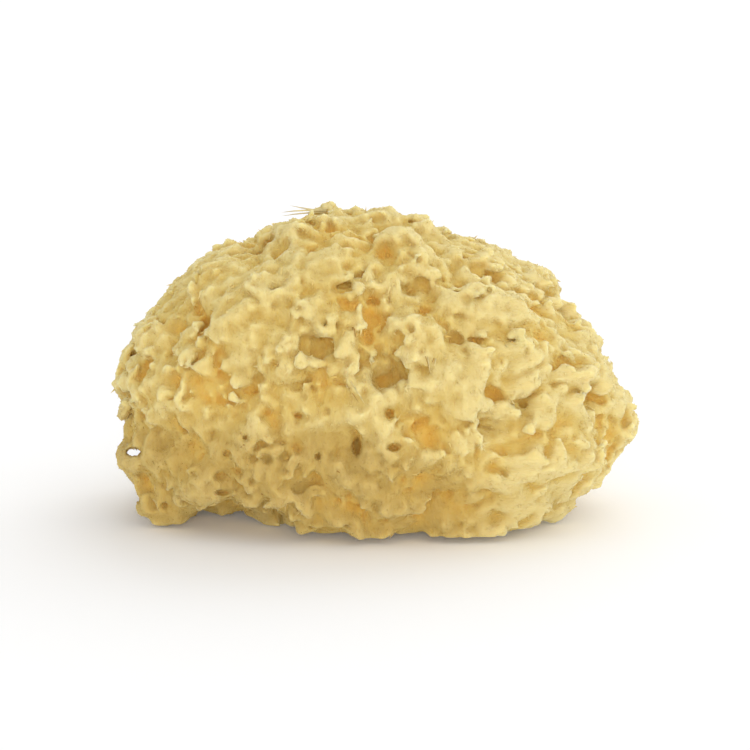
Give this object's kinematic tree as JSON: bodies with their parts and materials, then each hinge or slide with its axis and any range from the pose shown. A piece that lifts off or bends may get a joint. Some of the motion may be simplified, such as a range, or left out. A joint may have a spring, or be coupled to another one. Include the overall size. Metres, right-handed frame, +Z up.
{
  "type": "natural sea sponge",
  "caption": "Dry yellow natural bath sponge, a lumpy dome of soft tufts and open canals, cut off flat underneath so that it rests on a shelf.",
  "frame": {"origin": "middle of the flat cut base, below the middle of the bounding box", "axes": "+X along the sponge's length towards its pointed lobe, +Y to the back, +Z up"},
  "size_m": [0.13, 0.092, 0.076],
  "materials": {
    "spongin": "matt, soft and fibrous, pale yellow with deeper gold in the canals"
  },
  "bodies": {
    "root": {"sponge": "spongin"}
  },
  "joints": []
}
